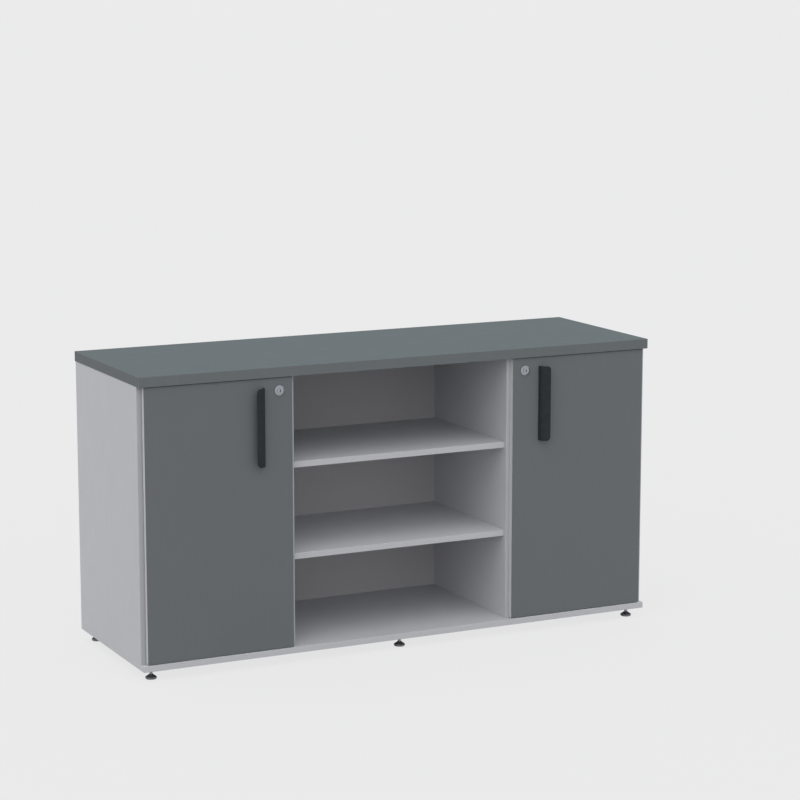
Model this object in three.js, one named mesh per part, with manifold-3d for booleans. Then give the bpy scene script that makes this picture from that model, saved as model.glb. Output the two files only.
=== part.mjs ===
// Office credenza: a low cabinet with a lockable cupboard at each end and an open niche between them.
// Millimetres. x runs to the right, y to the back and z up. y is 0 at the front edges of the upright
// panels and z is 0 on the floor. The last lines move the origin to the middle of the footprint.
import * as THREE from 'three';
import { mergeVertices } from 'three/addons/utils/BufferGeometryUtils.js';
import Module from 'manifold-3d';

// Boards
const topWidth = 1400;
const topThickness = 25;
const topEndOverhang = 1;
const topFrontOverhang = 20;
const topBackOverhang = 4;
const topBandThickness = 1;
const boardThickness = 15;
const carcassDepth = 435;
const bottomFrontReach = 18.5;
const innerHeight = 677;
const nicheWidth = 590;
const backThickness = 15;
const backSetback = 21;
const shelfThickness = 15;
const openShelfSetback = 9.5;
const openShelfClear = 214.9;

// Inner shelves, loose on four angle supports each
const innerShelfHeight = 331;
const innerShelfSetback = 24;
const innerShelfBackGap = 3;
const innerShelfPlay = 1;
const supportPegRadius = 2.5;
const supportPegReach = 9;
const supportLedge = 11;
const supportWall = 2;
const supportWidth = 10;
const supportDrop = 14;
const supportInset = 45;

// Glued dowels, one with the panel that carries them
const dowelRadius = 4;
const dowelReach = 11;
const dowelFit = 0.2;
const dowelInset = 62;
const shelfDowelInset = 70;
const endBackDowelInset = 150;
const centreBackDowelInset = 95;

// Doors
const doorThickness = 15;
const doorFreeOverlay = 5.1;
const doorHingedOverlay = 2.9;
const doorStandoff = 0.6;
const doorReliefChamfer = 2.5;
const doorTopGap = 1.5;
const doorBottomGap = 1.5;
const doorBandThickness = 1;

// Cup hinges with one pivot pin each; u runs from the side panel into the cupboard, v to the front
const hingeEndDistance = 95;
const pivotInset = 6.2;
const pivotDepth = 8;
const pinRadius = 1.1;
const pinEndGap = 0.8;
const pinSeatFit = 0.15;
const pinRunFit = 0.25;
const cupRadius = 17.5;
const cupNoseGap = 0.8;
const cupEdgeDistance = 3;
const cupFit = 0.2;
const cupFloor = 0.8;
const cupSlotFit = 0.5;
const cupPocketReach = 12;
const cupPocketHalf = 9;
const cupPocketSetback = 4;
const flangeThickness = 1.2;
const flangeHalfLength = 29;
const flangeBack = 6;
const flangeFront = 18;
const flangeCorner = 8;
const armNoseWidth = 7;
const armEyeRadius = 2.2;
const armHookOffset = 9.5;
const armHookThickness = 2.5;
const armHookDrop = 0.3;
const armHookRise = 1.9;
const armBodySetback = 8;
const armBodyLength = 48;
const armBodyWidth = 13;
const plateThickness = 2.5;
const plateWidth = 44;
const plateInset = 10;
const plateLength = 26;

// Locks; the cam points down while the door is unlocked
const lockInset = 34.3;
const lockDrop = 31.2;
const rosetteRadius = 12.8;
const rosetteThickness = 2.2;
const collarRadius = 9.2;
const collarHeight = 2.4;
const barrelRadius = 9.2;
const barrelFit = 0.3;
const barrelRear = 4;
const coreRadius = 6;
const coreFit = 0.2;
const coreHeadRadius = 7.6;
const coreHeadHeight = 1.6;
const keySlotWidth = 2.2;
const keySlotLength = 7.5;
const keySlotDepth = 9;
const spigotSize = 6;
const spigotFit = 0.15;
const spigotTail = 1.6;
const camThickness = 2;
const camWidth = 14;
const camGap = 0.4;
const camTipGap = 1.2;
const strikeWall = 1.5;
const strikeLipGap = 6;
const strikeDepth = 24;
const strikeHeight = 26;

// Handles: a bar that rises from the door and bends over towards the hinge side
const handleInset = 73.9;
const handleDrop = 21.9;
const handleLength = 192.3;
const handleReach = 20;
const handleWidth = 25.3;
const handleWall = 3.2;
const handleBend = 19;
const handleCorner = 9.5;
const handleBossInset = 9;
const handleBossRadius = 4.5;
const handleBossSpacing = 160;

// Levelling feet
const footHeight = 26;
const footEndInset = 30.4;
const footFrontInset = 16.4;
const footBackInset = 31.6;
const footRadius = 13.8;
const footRim = 5;
const footChamfer = 1;
const footNeckRadius = 6;
const footNeckHeight = 11;
const footNeckLand = 1;
const stemRadius = 4;
const stemSeat = 4;
const stemFit = 0.15;
const stemHoleFit = 0.3;
const stemInPanel = 8;
const stemHoleDepth = 13;

// Facet counts of round pieces
const smallSides = 10;
const mediumSides = 16;
const largeSides = 24;
const arcSteps = 4;
const handleBendSteps = 8;

// Points closer than this are one point, and cutters run past a face by the overshoot
const weldDistance = 1e-4;
const overshoot = 1;

// Faces worked out from the driving dimensions
const carcassHalf = topWidth / 2 - topEndOverhang;
const sideInner = carcassHalf - boardThickness;
const dividerInner = nicheWidth / 2;
const dividerOuter = dividerInner + boardThickness;
const bayFloor = footHeight + boardThickness;
const bayCeiling = bayFloor + innerHeight;
const topUpper = bayCeiling + topThickness;
const topFront = -topFrontOverhang;
const topBack = carcassDepth + topBackOverhang;
const backRear = carcassDepth - backSetback;
const backFront = backRear - backThickness;
const doorBack = -doorStandoff;
const doorFront = doorBack - doorThickness;
const doorLow = bayFloor + doorBottomGap;
const doorHigh = bayCeiling - doorTopGap;
const doorFree = dividerOuter - doorFreeOverlay;
const doorHinged = sideInner + doorHingedOverlay;
const handleFront = doorFront - handleReach;
const lockX = doorFree + lockInset;
const lockZ = doorHigh - lockDrop;
const hingeHeights = { lower: doorLow + hingeEndDistance, upper: doorHigh - hingeEndDistance };

const wasm = await Module();
wasm.setup();

const finishes = {
  greyBoard: { color: 0xb4b5b9, roughness: 0.6, metalness: 0 },
  slateBoard: { color: 0x6b7377, roughness: 0.5, metalness: 0 },
  slateBand: { color: 0x62676b, roughness: 0.45, metalness: 0 },
  greyBand: { color: 0xb0b2b5, roughness: 0.45, metalness: 0 },
  blackHandle: { color: 0x2c3033, roughness: 0.5, metalness: 0.1 },
  nickel: { color: 0xb9bbbd, roughness: 0.3, metalness: 0.9 },
  chrome: { color: 0xcfd1d3, roughness: 0.2, metalness: 1 },
  footPlastic: { color: 0x34363a, roughness: 0.6, metalness: 0 },
};

const credenza = new THREE.Group();

// A closed solid from a geometry: equal points are welded and flat triangles at a lathe's axis dropped
function solid(geometry) {
  geometry.deleteAttribute('normal');
  geometry.deleteAttribute('uv');
  const welded = mergeVertices(geometry, weldDistance);
  const source = welded.index.array;
  const triangles = [];
  for (let i = 0; i < source.length; i += 3) {
    const [a, b, c] = [source[i], source[i + 1], source[i + 2]];
    if (a !== b && b !== c && c !== a) triangles.push(a, b, c);
  }
  return new wasm.Manifold(new wasm.Mesh({
    numProp: 3,
    vertProperties: welded.attributes.position.array,
    triVerts: Uint32Array.from(triangles),
  }));
}

// A box between two corners given in any order
function block(from, to) {
  const a = new THREE.Vector3(...from);
  const b = new THREE.Vector3(...to);
  const low = a.clone().min(b);
  const size = a.clone().max(b).sub(low);
  const geometry = new THREE.BoxGeometry(size.x, size.y, size.z);
  const middle = low.addScaledVector(size, 0.5);
  return solid(geometry.translate(middle.x, middle.y, middle.z));
}

// A round bar along one axis, between two values on it, through the centre given by the other two
function rod(axis, from, to, centre, radius, sides) {
  const length = Math.abs(to - from);
  const geometry = new THREE.CylinderGeometry(radius, radius, length, sides);
  if (axis === 'x') geometry.rotateZ(Math.PI / 2);
  if (axis === 'z') geometry.rotateX(Math.PI / 2);
  const middle = (from + to) / 2;
  const place = {
    x: [middle, ...centre],
    y: [centre[0], middle, centre[1]],
    z: [...centre, middle],
  }[axis];
  return solid(geometry.translate(...place));
}

// A plan outline of x and y points carried up from one height to another
function planPrism(points, low, high) {
  const shape = new THREE.Shape(points.map(([x, y]) => new THREE.Vector2(x, y)));
  const geometry = new THREE.ExtrudeGeometry(shape, { depth: high - low, bevelEnabled: false });
  return solid(geometry.translate(0, 0, low));
}

// A front outline of x and z points carried from one depth to another
function frontPrism(points, front, back) {
  const shape = new THREE.Shape(points.map(([x, z]) => new THREE.Vector2(x, z)));
  const geometry = new THREE.ExtrudeGeometry(shape, { depth: back - front, bevelEnabled: false });
  return solid(geometry.rotateX(Math.PI / 2).translate(0, back, 0));
}

// A profile of radius and distance points turned about the y axis
function turned(profile, sides) {
  const points = profile.map(([radius, along]) => new THREE.Vector2(radius, along));
  return new THREE.LatheGeometry(points, sides);
}

// Points of a round corner from one angle to another, in quarter turns
function corner(x, y, radius, fromQuarter, toQuarter, steps = arcSteps) {
  return Array.from({ length: steps + 1 }, (_, step) => {
    const angle = (Math.PI / 2) * (fromQuarter + (step / steps) * (toQuarter - fromQuarter));
    return [x + radius * Math.cos(angle), y + radius * Math.sin(angle)];
  });
}

function join(pieces) {
  return pieces.reduce((whole, piece) => whole.add(piece));
}

function cut(body, tools) {
  return tools.reduce((left, tool) => left.subtract(tool), body);
}

// Puts a finished solid into the credenza as a named mesh with its own material
function put(name, shape, finish) {
  const { vertProperties, triVerts } = shape.getMesh();
  const geometry = new THREE.BufferGeometry();
  geometry.setAttribute('position', new THREE.BufferAttribute(vertProperties, 3));
  geometry.setIndex(new THREE.BufferAttribute(triVerts, 1));
  geometry.computeVertexNormals();
  const mesh = new THREE.Mesh(geometry, new THREE.MeshStandardMaterial(finishes[finish]));
  mesh.name = name;
  credenza.add(mesh);
}

// A dowel standing out of a panel end at a value on an axis, or its hole when room is given
function dowel(axis, face, direction, centre, room = 0) {
  const end = face + direction * (dowelReach + room);
  const start = face - direction * dowelFit;
  return rod(axis, start, end, centre, dowelRadius + room, smallSides);
}

const sides = [
  { name: 'left', sign: -1 },
  { name: 'right', sign: 1 },
];
const uprights = sides.flatMap(({ name, sign }) => [
  { name: `${name}_side_panel`, sign, inner: sideInner, outer: carcassHalf },
  { name: `${name}_divider`, sign, inner: dividerInner, outer: dividerOuter },
]);
const uprightDowelYs = [dowelInset, carcassDepth - dowelInset];
const footEnd = carcassHalf - footEndInset;
const footColumns = { left: -footEnd, middle: 0, right: footEnd };
const footRows = { front: footFrontInset, back: carcassDepth - footBackInset };
const feet = Object.entries(footRows).flatMap(([row, y]) => (
  Object.entries(footColumns).map(([column, x]) => ({ name: `${row}_${column}`, x, y }))
));

// Heights of the open shelves' undersides, each the same clear height above what lies below it
const openShelves = ['lower', 'upper'].map((name, index) => ({
  name,
  low: bayFloor + openShelfClear * (index + 1) + shelfThickness * index,
}));
const shelfDowelYs = [openShelfSetback + shelfDowelInset, backFront - shelfDowelInset];

// Back panels, one to each bay, with dowels at their ends
const backs = [
  { name: 'left_back_panel', from: -sideInner, to: -dividerOuter, dowelInset: endBackDowelInset },
  { name: 'centre_back_panel', from: -dividerInner, to: dividerInner, dowelInset: centreBackDowelInset },
  { name: 'right_back_panel', from: dividerOuter, to: sideInner, dowelInset: endBackDowelInset },
];
const backMiddle = (backFront + backRear) / 2;

function backDowels(back, room) {
  const heights = [bayFloor + back.dowelInset, bayCeiling - back.dowelInset];
  return heights.flatMap((z) => [
    dowel('x', back.from, -1, [backMiddle, z], room),
    dowel('x', back.to, 1, [backMiddle, z], room),
  ]);
}

function shelfDowels(shelf, room) {
  const z = shelf.low + shelfThickness / 2;
  return shelfDowelYs.flatMap((y) => [
    dowel('x', -dividerInner, -1, [y, z], room),
    dowel('x', dividerInner, 1, [y, z], room),
  ]);
}

function uprightDowels(face, direction, room) {
  return uprights.flatMap(({ sign, inner, outer }) => {
    const x = (sign * (inner + outer)) / 2;
    return uprightDowelYs.map((y) => dowel('z', face, direction, [x, y], room));
  });
}

// Angle supports of the inner shelves: a ledge, a wall against the panel and a peg in the panel's hole
const supportTop = bayFloor + innerShelfHeight;
const supportPegZ = supportTop - supportDrop / 2;
const supportYs = {
  front: innerShelfSetback + supportInset,
  back: backFront - innerShelfBackGap - supportInset,
};
const supportWalls = [
  { name: 'outer', face: sideInner, inward: -1 },
  { name: 'inner', face: dividerOuter, inward: 1 },
];

function supportPeg(sign, wall, y, room) {
  const start = sign * (wall.face + wall.inward * dowelFit);
  const end = sign * (wall.face - wall.inward * (supportPegReach + room));
  return rod('x', start, end, [y, supportPegZ], supportPegRadius + room, smallSides);
}

function shelfSupport(sign, wall, y) {
  const near = sign * wall.face;
  const half = supportWidth / 2;
  const ledgeEnd = sign * (wall.face + wall.inward * supportLedge);
  const wallEnd = sign * (wall.face + wall.inward * supportWall);
  return join([
    block([near, y - half, supportTop - supportWall], [ledgeEnd, y + half, supportTop]),
    block([near, y - half, supportTop - supportDrop], [wallEnd, y + half, supportTop]),
    supportPeg(sign, wall, y, 0),
  ]);
}

function supportHoles(sign) {
  return supportWalls.map((wall) => (
    Object.values(supportYs).map((y) => supportPeg(sign, wall, y, dowelFit))
  ));
}

// Carcass
function addTop() {
  const outer = block([-topWidth / 2, topFront, bayCeiling], [topWidth / 2, topBack, topUpper]);
  const coreHalf = topWidth / 2 - topBandThickness;
  const coreFront = topFront + topBandThickness;
  const coreBack = topBack - topBandThickness;
  const core = block([-coreHalf, coreFront, bayCeiling], [coreHalf, coreBack, topUpper]);
  put('top_panel', cut(core, uprightDowels(bayCeiling, 1, dowelFit)), 'slateBoard');
  const through = block(
    [-coreHalf, coreFront, bayCeiling - overshoot],
    [coreHalf, coreBack, topUpper + overshoot],
  );
  put('top_edge_band', outer.subtract(through), 'slateBand');
}

function addBottom() {
  const low = [-carcassHalf, -bottomFrontReach, footHeight];
  const board = block(low, [carcassHalf, carcassDepth, bayFloor]);
  const stemHoles = feet.map(({ x, y }) => (
    rod('z', footHeight - overshoot, footHeight + stemHoleDepth, [x, y], stemRadius + stemHoleFit,
      mediumSides)
  ));
  put('bottom_panel', cut(board, [...uprightDowels(bayFloor, -1, dowelFit), ...stemHoles]), 'greyBoard');
}

function addUprights() {
  for (const { name, sign, inner, outer } of uprights) {
    const board = block([sign * inner, 0, bayFloor], [sign * outer, carcassDepth, bayCeiling]);
    const x = (sign * (inner + outer)) / 2;
    const pegs = uprightDowelYs.flatMap((y) => [
      dowel('z', bayFloor, -1, [x, y]),
      dowel('z', bayCeiling, 1, [x, y]),
    ]);
    const [sideHoles, dividerHoles] = supportHoles(sign);
    const isSide = inner === sideInner;
    const holes = [
      ...backs.flatMap((back) => backDowels(back, dowelFit)),
      ...(isSide ? sideHoles : dividerHoles),
      ...(isSide ? [] : openShelves.flatMap((shelf) => shelfDowels(shelf, dowelFit))),
    ];
    put(name, cut(join([board, ...pegs]), holes), 'greyBoard');
  }
}

function addBacks() {
  for (const back of backs) {
    const board = block([back.from, backFront, bayFloor], [back.to, backRear, bayCeiling]);
    put(back.name, join([board, ...backDowels(back, 0)]), 'greyBoard');
  }
}

function addShelves() {
  for (const shelf of openShelves) {
    const low = [-dividerInner, openShelfSetback, shelf.low];
    const board = block(low, [dividerInner, backFront, shelf.low + shelfThickness]);
    put(`${shelf.name}_open_shelf`, join([board, ...shelfDowels(shelf, 0)]), 'greyBoard');
  }
  for (const { name, sign } of sides) {
    const board = block(
      [sign * (dividerOuter + innerShelfPlay), innerShelfSetback, supportTop],
      [sign * (sideInner - innerShelfPlay), backFront - innerShelfBackGap, supportTop + shelfThickness],
    );
    put(`${name}_inner_shelf`, board, 'greyBoard');
    for (const wall of supportWalls) {
      for (const [row, y] of Object.entries(supportYs)) {
        put(`${name}_shelf_support_${wall.name}_${row}`, shelfSupport(sign, wall, y), 'nickel');
      }
    }
  }
}

// Doors
const pivotU = pivotInset - doorHingedOverlay;
const pivotV = doorStandoff + pivotDepth;
const cupU = cupEdgeDistance + cupRadius - doorHingedOverlay;
const cupInnerDepth = pivotDepth + Math.max(armEyeRadius, armHookRise) + cupNoseGap;
const cupDepth = cupInnerDepth + cupFloor + cupFit;
const pinOffset = cupU - pivotU + pinRadius;
const pinHalf = Math.sqrt((cupRadius - cupFit) ** 2 - pinOffset ** 2) - pinEndGap;

// Plan place of a hinge point
function hingePlace(sign, u, v) {
  return [sign * (sideInner - u), -v];
}

// A box in hinge directions, from one u, v, z to another
function hingeBlock(sign, from, to) {
  const [x0, y0] = hingePlace(sign, from[0], from[1]);
  const [x1, y1] = hingePlace(sign, to[0], to[1]);
  return block([x0, y0, from[2]], [x1, y1, to[2]]);
}

// Cutter for the chamfer on the back of a door's hinged edge, which clears the side panel in the swing
function doorRelief(sign) {
  const backEdge = doorHinged - doorReliefChamfer - overshoot;
  const frontEdge = doorBack - doorReliefChamfer - overshoot;
  const beyond = [doorHinged + overshoot, doorBack + overshoot];
  const corners = [[backEdge, beyond[1]], [beyond[0], frontEdge], beyond];
  return planPrism(corners.map(([x, y]) => [sign * x, y]), doorLow - overshoot, doorHigh + overshoot);
}

function addDoor({ name, sign }) {
  const low = [sign * doorFree, doorFront, doorLow];
  const high = [sign * doorHinged, doorBack, doorHigh];
  const coreLow = [sign * (doorFree + doorBandThickness), doorFront, doorLow + doorBandThickness];
  const coreHigh = [sign * (doorHinged - doorBandThickness), doorBack, doorHigh - doorBandThickness];
  const cupX = sign * (sideInner - cupU);
  const cupBores = Object.values(hingeHeights).map((z) => (
    rod('y', doorBack - cupDepth, doorBack + overshoot, [cupX, z], cupRadius, largeSides)
  ));
  const lockCentre = [sign * lockX, lockZ];
  const boreRadius = barrelRadius + barrelFit;
  const boreFront = doorFront - overshoot;
  const lockBore = rod('y', boreFront, doorBack + overshoot, lockCentre, boreRadius, largeSides);
  const relief = doorRelief(sign);
  put(`${name}_door`, cut(block(coreLow, coreHigh), [...cupBores, lockBore, relief]), 'slateBoard');
  const opening = block(
    [coreLow[0], doorFront - overshoot, coreLow[2]],
    [coreHigh[0], doorBack + overshoot, coreHigh[2]],
  );
  put(`${name}_door_edge_band`, cut(block(low, high), [opening, relief]), 'greyBand');
}

// Bent bar with its free corners rounded, and two screw bosses that end halfway into its wall
function addHandle({ name, sign }) {
  const root = doorFree + handleInset;
  const high = doorHigh - handleDrop;
  const low = high - handleLength;
  const middle = (low + high) / 2;
  const plateBack = handleReach - handleWall;
  const bend = Math.min(handleBend, handleReach, handleWidth);
  const bendDepth = handleReach - bend;
  const halfWall = handleWall / 2;
  const profile = [
    [0, 0],
    ...corner(bend, bendDepth, bend, 2, 1, handleBendSteps),
    [handleWidth, handleReach],
    [handleWidth, plateBack],
    ...corner(bend, bendDepth, bend - handleWall, 1, 2, handleBendSteps),
    [handleWall, 0],
  ];
  const bar = planPrism(profile.map(([s, t]) => [sign * (root + s), doorFront - t]), low, high);
  const free = root + handleWidth;
  const outline = [
    [root - overshoot, low],
    ...corner(free - handleCorner, low + handleCorner, handleCorner, 3, 4),
    ...corner(free - handleCorner, high - handleCorner, handleCorner, 0, 1),
    [root - overshoot, high],
  ];
  const maskOutline = outline.map(([x, z]) => [sign * x, z]);
  const mask = frontPrism(maskOutline, handleFront - overshoot, doorFront + overshoot);
  const bossLimit = [
    [halfWall, 0],
    ...corner(bend, bendDepth, bend - halfWall, 2, 1, handleBendSteps),
    [handleWidth, handleReach - halfWall],
    [handleWidth, 0],
  ];
  const limit = planPrism(bossLimit.map(([s, t]) => [sign * (root + s), doorFront - t]), low, high);
  const bossX = sign * (root + handleBossInset);
  const bossHeights = [middle - handleBossSpacing / 2, middle + handleBossSpacing / 2];
  const bosses = bossHeights.map((z) => (
    rod('y', handleFront, doorFront, [bossX, z], handleBossRadius, mediumSides).intersect(limit)
  ));
  put(`${name}_handle`, join([bar.intersect(mask), ...bosses]), 'blackHandle');
}

// Cup pressed into the door, with a screw flange, a slot for the arm's nose and seats for the pin
function hingeCup(sign, z) {
  const [x, doorFace] = hingePlace(sign, cupU, doorStandoff);
  const bowl = rod('y', doorFace - cupDepth + cupFit, doorFace, [x, z], cupRadius - cupFit, largeSides);
  const reach = flangeHalfLength - flangeCorner;
  const flangePoints = [
    ...corner(cupU + flangeFront - flangeCorner, z + reach, flangeCorner, 0, 1),
    ...corner(cupU - flangeBack + flangeCorner, z + reach, flangeCorner, 1, 2),
    ...corner(cupU - flangeBack + flangeCorner, z - reach, flangeCorner, 2, 3),
    ...corner(cupU + flangeFront - flangeCorner, z - reach, flangeCorner, 3, 4),
  ];
  const flangeOutline = flangePoints.map(([u, height]) => [sign * (sideInner - u), height]);
  const flange = frontPrism(flangeOutline, doorFace, doorFace + flangeThickness);
  const floorV = doorStandoff + cupInnerDepth;
  const mouthV = doorStandoff - flangeThickness - overshoot;
  const slotHalf = armNoseWidth / 2 + cupSlotFit;
  const pocketEnd = cupU + cupPocketReach;
  const slot = hingeBlock(
    sign,
    [cupU - cupRadius - overshoot, mouthV, z - slotHalf],
    [pocketEnd, floorV, z + slotHalf],
  );
  const pocket = hingeBlock(
    sign,
    [pivotU + cupPocketSetback, mouthV, z - cupPocketHalf],
    [pocketEnd, floorV, z + cupPocketHalf],
  );
  const pinCentre = hingePlace(sign, pivotU, pivotV);
  const pinHole = rod('z', z - cupRadius, z + cupRadius, pinCentre, pinRadius + pinSeatFit, smallSides);
  return cut(join([bowl, flange]), [slot, pocket, pinHole]);
}

// Arm on its mounting plate, hooked into the cup, with the eye that turns on the pin
function hingeArm(sign, z) {
  const hookNear = pivotU + armHookOffset;
  const hookFar = hookNear + armHookThickness;
  const noseHalf = armNoseWidth / 2;
  const bodyHalf = armBodyWidth / 2;
  const bodyBack = -armBodySetback - armBodyLength;
  const plateFront = -armBodySetback - plateInset;
  const hookTop = pivotV + armHookRise;
  const body = hingeBlock(sign, [0, bodyBack, z - bodyHalf], [hookFar, -armBodySetback, z + bodyHalf]);
  const plate = hingeBlock(
    sign,
    [0, plateFront - plateLength, z - plateWidth / 2],
    [plateThickness, plateFront, z + plateWidth / 2],
  );
  const neck = hingeBlock(
    sign,
    [hookNear, -armBodySetback - overshoot, z - noseHalf],
    [hookFar, hookTop, z + noseHalf],
  );
  const hook = hingeBlock(
    sign,
    [pivotU, pivotV - armHookDrop, z - noseHalf],
    [hookFar, hookTop, z + noseHalf],
  );
  const centre = hingePlace(sign, pivotU, pivotV);
  const eye = rod('z', z - noseHalf, z + noseHalf, centre, armEyeRadius, mediumSides);
  const holeHalf = noseHalf + overshoot;
  const hole = rod('z', z - holeHalf, z + holeHalf, centre, pinRadius + pinRunFit, smallSides);
  return join([body, plate, neck, hook, eye]).subtract(hole);
}

function addHinges({ name, sign }) {
  for (const [row, z] of Object.entries(hingeHeights)) {
    put(`${name}_${row}_hinge_cup`, hingeCup(sign, z), 'nickel');
    put(`${name}_${row}_hinge_arm`, hingeArm(sign, z), 'nickel');
    const centre = hingePlace(sign, pivotU, pivotV);
    const pin = rod('z', z - pinHalf, z + pinHalf, centre, pinRadius, smallSides);
    put(`${name}_${row}_hinge_pin`, pin, 'nickel');
  }
}

// Locks
const barrelEnd = doorBack + barrelRear;
const collarFront = doorFront - rosetteThickness - collarHeight;
const headBack = collarFront - coreFit;
const headFront = headBack - coreHeadHeight;
const camFront = barrelEnd + camGap;
const camBack = camFront + camThickness;
const spigotEnd = camBack + spigotTail;

function lockHousing(sign) {
  const bore = coreRadius + coreFit;
  const rosetteFront = doorFront - rosetteThickness;
  const profile = [
    [bore, barrelEnd],
    [bore, collarFront],
    [collarRadius, collarFront],
    [rosetteRadius, rosetteFront],
    [rosetteRadius, doorFront],
    [barrelRadius, doorFront],
    [barrelRadius, barrelEnd],
    [bore, barrelEnd],
  ];
  return solid(turned(profile, largeSides).translate(sign * lockX, 0, lockZ));
}

function lockCore(sign) {
  const x = sign * lockX;
  const shaftEnd = barrelEnd + camGap / 2;
  const half = spigotSize / 2;
  const slotHalf = keySlotWidth / 2;
  const slotReach = keySlotLength / 2;
  const whole = join([
    rod('y', headFront, headBack, [x, lockZ], coreHeadRadius, largeSides),
    rod('y', headFront, shaftEnd, [x, lockZ], coreRadius, mediumSides),
    block([x - half, headBack, lockZ - half], [x + half, spigotEnd, lockZ + half]),
  ]);
  return whole.subtract(block(
    [x - slotHalf, headFront - overshoot, lockZ - slotReach],
    [x + slotHalf, headFront + keySlotDepth, lockZ + slotReach],
  ));
}

// Cam bar with round ends, long enough to reach behind the strike's lip when it is turned to the divider
function lockCam(sign) {
  const x = sign * lockX;
  const half = camWidth / 2;
  const length = lockX - dividerOuter - strikeWall - camTipGap;
  const tip = lockZ - length + half;
  const outline = [
    ...corner(x, lockZ, half, 0, 1),
    ...corner(x, lockZ, half, 1, 2),
    ...corner(x, tip, half, 2, 3),
    ...corner(x, tip, half, 3, 4),
  ];
  const hole = spigotSize / 2 + spigotFit;
  const square = block(
    [x - hole, camFront - overshoot, lockZ - hole],
    [x + hole, camBack + overshoot, lockZ + hole],
  );
  return frontPrism(outline, camFront, camBack).subtract(square);
}

// Angle strike on the divider: the lip stands in front of the locked cam
function lockStrike(sign) {
  const face = sign * dividerOuter;
  const half = strikeHeight / 2;
  const lipBack = camFront - camGap;
  const lipFront = lipBack - strikeWall;
  const lipEnd = sign * (lockX - barrelRadius - strikeLipGap);
  const plateFace = sign * (dividerOuter + strikeWall);
  return join([
    block([face, lipFront, lockZ - half], [lipEnd, lipBack, lockZ + half]),
    block([face, lipFront, lockZ - half], [plateFace, strikeDepth, lockZ + half]),
  ]);
}

function addLock({ name, sign }) {
  put(`${name}_lock_housing`, lockHousing(sign), 'chrome');
  put(`${name}_lock_core`, lockCore(sign), 'chrome');
  put(`${name}_lock_cam`, lockCam(sign), 'nickel');
  put(`${name}_lock_strike`, lockStrike(sign), 'nickel');
}

// Levelling foot: a coned base turned about the stem, and the stem that enters the bottom panel
function addFoot({ name, x, y }) {
  const seat = footNeckHeight - stemSeat;
  const socket = stemRadius + stemFit;
  const profile = [
    [0, 0],
    [footRadius - footChamfer, 0],
    [footRadius, footChamfer],
    [footRadius, footRim],
    [footNeckRadius, footNeckHeight - footNeckLand],
    [footNeckRadius, footNeckHeight],
    [socket, footNeckHeight],
    [socket, seat],
    [0, seat],
  ];
  const base = solid(turned(profile, mediumSides).rotateX(Math.PI / 2).translate(x, y, 0));
  put(`${name}_foot_base`, base, 'footPlastic');
  const stem = rod('z', seat, footHeight + stemInPanel, [x, y], stemRadius, mediumSides);
  put(`${name}_foot_stem`, stem, 'nickel');
}

addTop();
addBottom();
addUprights();
addBacks();
addShelves();
for (const side of sides) {
  addDoor(side);
  addHandle(side);
  addHinges(side);
  addLock(side);
}
feet.forEach(addFoot);

// Origin on the floor, in the middle of the footprint from the handles' front to the top's back edge
credenza.position.y = -(handleFront + topBack) / 2;

export default credenza;
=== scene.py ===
"""Office credenza: its finish, edges and fittings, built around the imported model.

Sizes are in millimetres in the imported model's frame, x to the right, y to the back and z up.
A Sheet holds rows of points; piece() joins neighbouring points into faces, in metres."""
import math
from collections import namedtuple

import bmesh
import bpy
import numpy as np
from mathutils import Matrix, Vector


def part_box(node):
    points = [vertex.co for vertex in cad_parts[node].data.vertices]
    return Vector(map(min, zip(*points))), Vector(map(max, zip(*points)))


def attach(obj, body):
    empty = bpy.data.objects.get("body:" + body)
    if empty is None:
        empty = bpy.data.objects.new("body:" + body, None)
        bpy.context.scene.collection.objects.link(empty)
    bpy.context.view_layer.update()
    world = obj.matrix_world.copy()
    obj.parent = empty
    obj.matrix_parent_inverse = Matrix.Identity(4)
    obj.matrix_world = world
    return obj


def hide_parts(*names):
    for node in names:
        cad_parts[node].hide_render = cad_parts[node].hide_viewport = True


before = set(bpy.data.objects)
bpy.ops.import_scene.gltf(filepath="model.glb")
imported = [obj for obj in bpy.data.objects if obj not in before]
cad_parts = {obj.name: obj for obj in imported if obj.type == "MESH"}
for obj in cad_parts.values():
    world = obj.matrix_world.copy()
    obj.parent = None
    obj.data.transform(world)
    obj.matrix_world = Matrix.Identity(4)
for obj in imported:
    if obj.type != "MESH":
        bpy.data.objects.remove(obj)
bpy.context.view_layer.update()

MM = 0.001
WELD = 1e-7
FLAT_ANGLE = math.radians(1)
SHARP_ANGLE = math.radians(42)
ROUND_SIDES = 32
SIDES = {"left": -1, "right": 1}

# Camera, fitted to the photograph's straight edges
CAMERA_PLACE = (-2.69806, -5.64565, 1.68954)
CAMERA_TURN = math.radians(-26.310)
CAMERA_DROP = math.radians(9.864)
CAMERA_LENS = 111.796
CAMERA_SENSOR = 36
VIEW_LIMIT = 500

# Boards and their bands
BOARD_ROUND = 0.3
BAND = 1.0
BAND_ROUND = 0.7
BAND_BACK_ROUND = 0.05
DOOR_CHAMFER = 2.5
EDGE_STEPS = 4
CORNER_STEPS = 4

# Handles
HANDLE_WALL = 3.2
HANDLE_BEND = 19.0
HANDLE_STEPS = 13
HANDLE_CORNER = 9.5
HANDLE_ARRIS = 0.8
HANDLE_BOSS_INSET = 9.0
HANDLE_BOSS_RADIUS = 4.5
HANDLE_BOSS_SPACING = 160.0

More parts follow.
